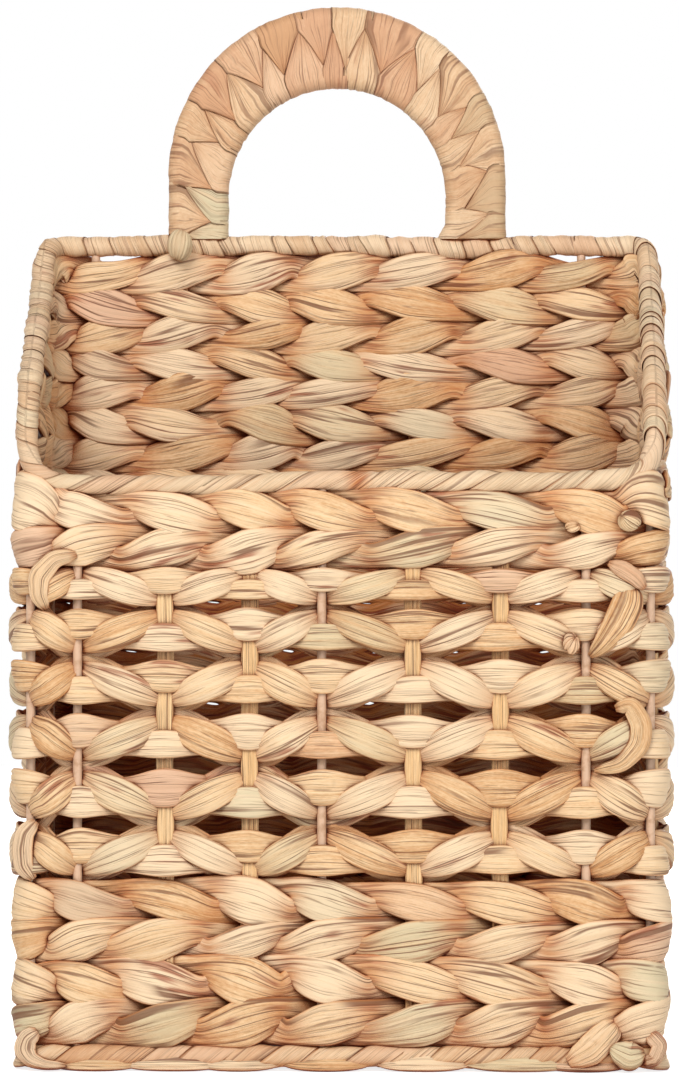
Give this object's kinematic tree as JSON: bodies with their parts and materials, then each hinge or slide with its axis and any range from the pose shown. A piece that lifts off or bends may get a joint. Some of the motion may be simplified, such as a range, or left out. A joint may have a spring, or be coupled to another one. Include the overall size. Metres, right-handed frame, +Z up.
{
  "type": "wall basket",
  "caption": "Woven wall basket with a high back, a low front, a wrapped rim and a loop handle, on a painted wire frame.",
  "frame": {"origin": "on the floor under the middle of the basket", "axes": "+Z up, +Y towards the wall behind the basket, +X to the right seen from the front"},
  "size_m": [0.27, 0.1246, 0.4407],
  "materials": {
    "painted_wire": "tan paint, satin",
    "woven_leaf": "dried leaf, fibrous, matt",
    "wound_leaf": "dried leaf, fibrous, matt",
    "cord": "twisted leaf cord, matt"
  },
  "bodies": {
    "root": {"rim_wire": "painted_wire", "base_wire": "painted_wire", "handle_inner_wire": "painted_wire", "handle_outer_wire": "painted_wire", "wire_rib_1": "painted_wire", "wire_rib_2": "painted_wire", "wire_rib_3": "painted_wire", "corner_post_front_left": "painted_wire", "corner_post_front_right": "painted_wire", "corner_post_back_left": "painted_wire", "corner_post_back_right": "painted_wire", "cord_stake_2": "cord", "cord_stake_3": "cord", "cord_stake_5": "cord", "cord_stake_6": "cord", "side_cord_front_left": "cord", "side_cord_front_right": "cord", "side_cord_back_left": "cord", "side_cord_back_right": "cord", "rim_wrap": "wound_leaf", "base_wrap": "wound_leaf", "handle_wrap": "wound_leaf", "handle_knot": "wound_leaf", "lower_course_1": "woven_leaf", "lower_course_2": "woven_leaf", "lower_course_3": "woven_leaf", "lower_course_4": "woven_leaf", "star_course_1": "woven_leaf", "star_course_2": "woven_leaf", "star_course_3": "woven_leaf", "star_course_4": "woven_leaf", "star_course_5": "woven_leaf", "star_course_6": "woven_leaf", "upper_course_1": "woven_leaf", "upper_course_2": "woven_leaf", "back_course_1": "woven_leaf", "back_course_2": "woven_leaf", "back_course_3": "woven_leaf", "back_course_4": "woven_leaf", "back_course_5": "woven_leaf", "back_course_6": "woven_leaf", "back_course_7": "woven_leaf", "back_course_8": "woven_leaf", "base_strand_1": "woven_leaf", "base_strand_2": "woven_leaf", "base_strand_3": "woven_leaf", "base_strand_4": "woven_leaf", "base_strand_5": "woven_leaf"}
  },
  "joints": []
}
